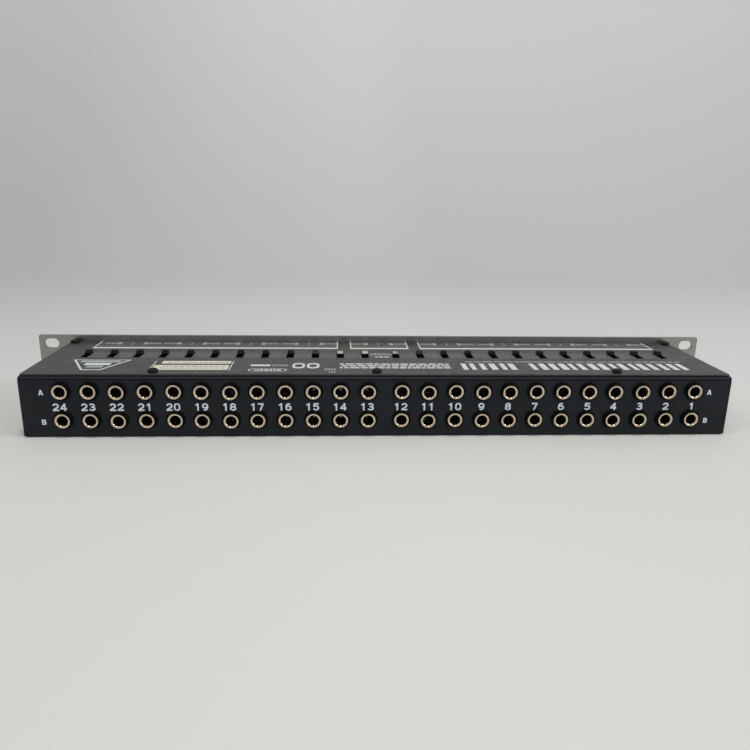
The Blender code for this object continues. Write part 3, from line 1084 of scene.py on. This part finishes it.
def add_ring(bm, outline, hole, material=0):
    """A printed outline on the cover."""
    plate(bm, outline, [hole], PRINT_FOOT, COVER_TOP + INK, material=material)


def print_emblem(bm):
    """A plain badge that narrows towards the rear, with plain bars in it."""
    middle = 179.6

    def trapezoid(y, wide, narrow):
        return [
            (middle - wide, y[0]),
            (middle + wide, y[0]),
            (middle + narrow, y[1]),
            (middle - narrow, y[1]),
        ]

    add_ring(bm, trapezoid((9.4, 34.0), 18.4, 6.0), trapezoid((10.3, 32.6), 16.5, 5.2))
    bar(bm, (middle - 12.5, middle + 12.5), (11.4, 16.2), 1)
    bar(bm, (middle - 8.0, middle + 8.0), (17.6, 22.6))
    bar(bm, (middle - 5.0, middle + 5.0), (24.0, 28.4), 1)


def print_small_marks(bm, draw):
    """Plain bars, a long ring and two round rings where small marks would be."""
    bar(bm, (71.5, 83.8), (20.6, 24.4))
    for i in range(6):
        bar(bm, (60.6 + 1.75 * i, 61.6 + 1.75 * i), (20.6, 24.4), 1)
    add_ring(bm, obround(72.3, 33.4, 24.0, 6.4), obround(72.3, 33.4, 22.6, 5.2))
    words(bm, (64.0, 80.5), (32.0, 34.8), 0.7, draw, (1.2, 2.6))
    for x in (44.4, 53.6):
        outline = rounded((x - 3.9, x + 3.9), (16.8, 29.6), 3.8, 6)
        add_ring(bm, outline, rounded((x - 2.4, x + 2.4), (19.6, 26.8), 2.3, 6))
    words(bm, (30.3, 37.2), (30.0, 33.6), 0.6, draw, (1.0, 1.8), 1)
    words(bm, (30.3, 34.4), (36.4, 39.6), 0.6, draw, (1.0, 1.8), 1)


def print_title(bm, draw):
    """Upright bars where a title would be, in two groups, and lines of plain bars."""
    for start, end in ((-197.6, -93.0), (-85.5, -48.8)):
        while start < end - 3.0:
            width = draw.uniform(2.7, 4.3)
            bar(bm, (start, min(end, start + width)), (17.2, 32.0))
            start += width + draw.uniform(2.3, 3.6)
    words(bm, (-200.0, -55.0), (11.9, 13.7), 1.0, draw, (3.0, 8.0), 1)
    for y in (18.9, 23.4, 27.9):
        words(bm, (-43.0, 27.5), (y - 1.25, y + 1.25), 0.9, draw, (2.0, 6.0))


def build_cover_prints():
    """All of the cover's white and grey print, as one piece."""
    draw = random.Random(11)
    bm = bmesh.new()
    print_mode_boxes(bm, draw)
    print_emblem(bm)
    print_small_marks(bm, draw)
    print_title(bm, draw)
    for x in (95.6, 144.6):
        bar(bm, (x, x + 0.6), (12.0, 34.2))
    words(bm, (-8.2, 6.9), (-8.2, -5.4), 0.7, draw, (2.0, 4.0), 1)
    words(bm, (-5.6, 3.7), (-0.6, 1.6), 0.7, draw, (2.0, 4.0))
    mesh = make_mesh("cover_print", bm, COVER_PRINT, PRINT_FAINT, PRINT_GREY)
    add_piece("cover_print", mesh)


def build_slot_band():
    """The lighter band that the switch slots stand in."""
    bm = bmesh.new()
    y = (-10.4, 3.9)
    slots = [
        rectangle((x - SLOT_HALF_WIDTH - 0.1, x + SLOT_HALF_WIDTH + 0.1), (y[0] + 0.2, y[1] - 0.4))
        for x in CHANNEL_X.values()
    ]
    ends = (CHANNEL_X[1] - SLOT_HALF_WIDTH - 0.8, CHANNEL_X[24] + SLOT_HALF_WIDTH + 0.8)
    plate(bm, rectangle(ends, y), slots, PRINT_FOOT, COVER_TOP + TINT)
    add_piece("slot_band", make_mesh("slot_band", bm, PRINT_GREY))


def build_label():
    """Two paper strips with lines of plain grey bars."""
    draw = random.Random(3)
    bm = bmesh.new()
    for x, y in (((97.2, 140.6), (12.3, 18.6)), ((97.2, 143.8), (22.3, 33.2))):
        plate(bm, rounded(x, y, 0.5, 3), [], PRINT_FOOT, COVER_TOP + 0.08)
    mesh = make_mesh("label", bm, LABEL_PAPER)
    add_piece("label", mesh)
    ink = bmesh.new()
    z = (COVER_TOP + 0.07, COVER_TOP + 0.10)
    for y in (15.4, 25.6, 29.6):
        start = 99.0
        while start < 136.0:
            end = start + draw.uniform(1.2, 4.0)
            block(ink, (start, end), (y - 0.55, y + 0.55), z)
            start = end + 0.8
    add_piece("label_print", make_mesh("label_print", ink, PRINT_GREY))


def build_prints():
    print_numbers("rear_print", facing_rear(y=REAR_Y), -1, PRINT_WHITE, 205.8)
    print_numbers("front_print", facing_front(y=FRONT_Y), 1, PRINT_BLACK, 204.6)
    build_cover_prints()
    build_slot_band()
    build_label()


# ---------------------------------------------------------------------------------------------
# Stage, lights and camera

FLOOR = surface(
    "floor",
    (0.716, 0.725, 0.727),
    0.7,
    level=0.3,
    mottle=(1.2, 0.008),
    rough_noise=(5.0, 0.03),
    bumps=((60.0, 0.05, None),),
)


def shade_floor():
    """Paint light and shade into the sheet's colour: painted shade towards the wall's foot and both
    sides, painted light up the wall.

    Each range is a value, its factors at both ends, and where the ends are, in metres.
    """
    tree = FLOOR.node_tree
    shader = tree.nodes["Principled BSDF"]
    colour = shader.inputs["Base Color"].links[0].from_socket
    parts = node(tree, "ShaderNodeSeparateXYZ")
    tree.links.new(node(tree, "ShaderNodeTexCoord").outputs["Object"], parts.inputs[0])
    # Each factor scales the sheet's colour: painted shade where it drops, painted light where it
    # rises.
    ranges = (
        (parts.outputs["Y"], 0.92, 1.0, -0.60, 0.05),
        (parts.outputs["Z"], 1.0, 1.31, 0.0, 0.56),
        (parts.outputs["X"], 1.0, 0.975, 0.03, 0.15),
        (parts.outputs["X"], 1.0, 0.91, 0.20, 0.60),
        (parts.outputs["X"], 0.96, 1.0, -0.16, -0.04),
    )
    for value, low, high, start, end in ranges:
        scaled = node(tree, "ShaderNodeVectorMath", operation="SCALE")
        tree.links.new(colour, scaled.inputs[0])
        tree.links.new(spread(tree, value, low, high, start, end), scaled.inputs["Scale"])
        colour = scaled.outputs[0]
    tree.links.new(colour, shader.inputs["Base Color"])


def build_stage():
    """A pale floor that sweeps up into a wall behind the rack panel, with painted light and shade
    in its colour.
    """
    shade_floor()
    radius, wall_y, front_y, wall_top, half_width = 800.0, -1400.0, 3500.0, 3000.0, 4000.0
    sweep = [math.radians(3 * i) for i in range(31)]
    profile = [(front_y, 0.0)]
    profile += [
        (wall_y + radius - radius * math.sin(a), radius - radius * math.cos(a)) for a in sweep
    ]
    profile.append((wall_y, wall_top))
    bm = bmesh.new()
    rows = [
        [bm.verts.new((x, y, z)) for x in (-half_width, half_width)] for y, z in profile
    ]
    for near, far in zip(rows, rows[1:]):
        bm.faces.new((near[0], far[0], far[1], near[1]))
    bmesh.ops.recalc_face_normals(bm, faces=bm.faces)
    mesh = make_mesh("stage", bm, FLOOR, sharp=40)
    obj = bpy.data.objects.new("stage", mesh)
    bpy.context.scene.collection.objects.link(obj)


def area_light(name, location, target, size, power, colour):
    """A lamp with its place, target and size in metres, and its power in watts."""
    lamp = bpy.data.lights.new(name, "AREA")
    lamp.shape = "RECTANGLE"
    lamp.size, lamp.size_y = size
    lamp.energy = power
    lamp.color = colour
    obj = bpy.data.objects.new(name, lamp)
    obj.location = location
    aim = Vector(target) - Vector(location)
    obj.rotation_euler = aim.to_track_quat("-Z", "Y").to_euler()
    bpy.context.scene.collection.objects.link(obj)


def build_lights():
    """A soft room, a warm lamp overhead and a weak one at each side."""
    world = bpy.data.worlds.new("soft_room")
    world.use_nodes = True
    background = world.node_tree.nodes["Background"]
    background.inputs["Color"].default_value = (0.93, 0.96, 1.0, 1)
    background.inputs["Strength"].default_value = 0.485
    bpy.context.scene.world = world
    warm, plain = (1.0, 0.92, 0.78), (1.0, 0.98, 0.96)
    area_light("overhead", (-0.055, 0.40, 1.5), (0, 0, 0), (0.20, 0.45), 7.5, warm)
    area_light("left", (1.0, 0.55, 1.25), (0, 0, 0.02), (0.5, 0.5), 2.4, plain)
    area_light("right", (-1.4, 0.45, 0.8), (0, 0, 0.02), (0.5, 0.5), 7.2, plain)


CAMERA_PLACE = (29.790, 442.628, 154.112)
CAMERA_TARGET = (6.25, 45.0, 39.77)
CAMERA_ROLL = 0.992  # degrees
CAMERA_LENS = 32.70
CAMERA_SENSOR = 36.0


def build_camera():
    camera = bpy.data.cameras.new("camera")
    camera.lens = CAMERA_LENS
    camera.sensor_width = CAMERA_SENSOR
    camera.clip_start, camera.clip_end = 0.02, 20.0
    obj = bpy.data.objects.new("camera", camera)
    place = Vector(CAMERA_PLACE) * MM
    aim = Vector(CAMERA_TARGET) * MM - place
    turned = aim.to_track_quat("-Z", "Y").to_matrix().to_4x4()
    roll = Matrix.Rotation(math.radians(CAMERA_ROLL), 4, "Z")
    obj.matrix_world = Matrix.Translation(place) @ turned @ roll
    bpy.context.scene.collection.objects.link(obj)
    bpy.context.scene.camera = obj


build_camera()
build_stage()
build_lights()
bpy.context.scene.view_settings.view_transform = "Standard"
build_tray()
build_rack_panel()
build_cover()
build_channels()
build_screws()
build_prints()
